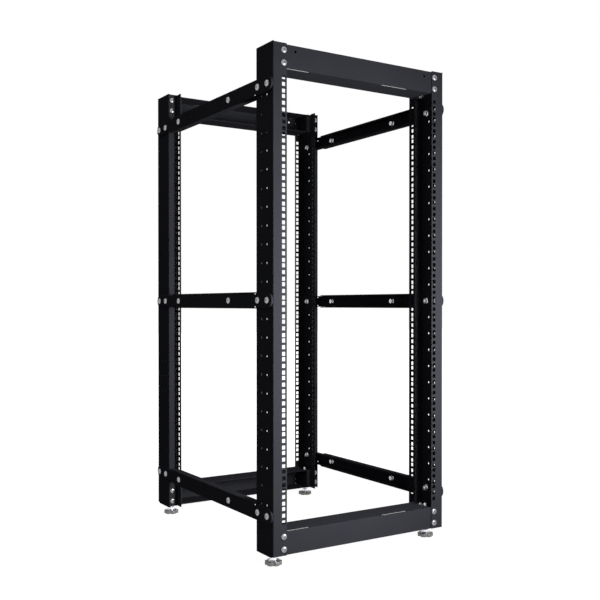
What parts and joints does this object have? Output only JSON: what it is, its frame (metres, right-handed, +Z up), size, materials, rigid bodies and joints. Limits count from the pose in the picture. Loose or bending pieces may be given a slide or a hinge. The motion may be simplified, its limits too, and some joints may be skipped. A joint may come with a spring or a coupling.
{
  "type": "four post open frame rack",
  "caption": "Open frame equipment rack with four square-holed posts, end crossbars, telescoping side braces and levelling feet.",
  "frame": {"origin": "on the floor under the middle of the rack, midway between the four posts", "axes": "+Z up along the posts, +X to the right of someone facing the front, +Y from the front to the rear"},
  "size_m": [0.534, 0.6928, 1.2456],
  "materials": {
    "black_powder_coat": "semi-matt black powder coat",
    "zinc_plate": "bright zinc plated steel",
    "grey_plastic": "grey moulded plastic"
  },
  "bodies": {
    "root": {"front_left_post": "black_powder_coat", "front_left_foot_plate": "black_powder_coat", "front_left_levelling_stud": "zinc_plate", "front_left_lock_nut": "zinc_plate", "front_left_levelling_foot": "grey_plastic", "front_right_post": "black_powder_coat", "front_right_foot_plate": "black_powder_coat", "front_right_levelling_stud": "zinc_plate", "front_right_lock_nut": "zinc_plate", "front_right_levelling_foot": "grey_plastic", "front_lower_crossbar": "black_powder_coat", "front_upper_crossbar": "black_powder_coat", "rear_left_post": "black_powder_coat", "rear_left_foot_plate": "black_powder_coat", "rear_left_levelling_stud": "zinc_plate", "rear_left_lock_nut": "zinc_plate", "rear_left_levelling_foot": "grey_plastic", "rear_right_post": "black_powder_coat", "rear_right_foot_plate": "black_powder_coat", "rear_right_levelling_stud": "zinc_plate", "rear_right_lock_nut": "zinc_plate", "rear_right_levelling_foot": "grey_plastic", "rear_lower_crossbar": "black_powder_coat", "rear_upper_crossbar": "black_powder_coat", "left_lower_brace_front": "black_powder_coat", "left_lower_brace_rear": "black_powder_coat", "left_middle_brace_front": "black_powder_coat", "left_middle_brace_rear": "black_powder_coat", "left_upper_brace_front": "black_powder_coat", "left_upper_brace_rear": "black_powder_coat", "right_lower_brace_front": "black_powder_coat", "right_lower_brace_rear": "black_powder_coat", "right_middle_brace_front": "black_powder_coat", "right_middle_brace_rear": "black_powder_coat", "right_upper_brace_front": "black_powder_coat", "right_upper_brace_rear": "black_powder_coat"}
  },
  "joints": []
}
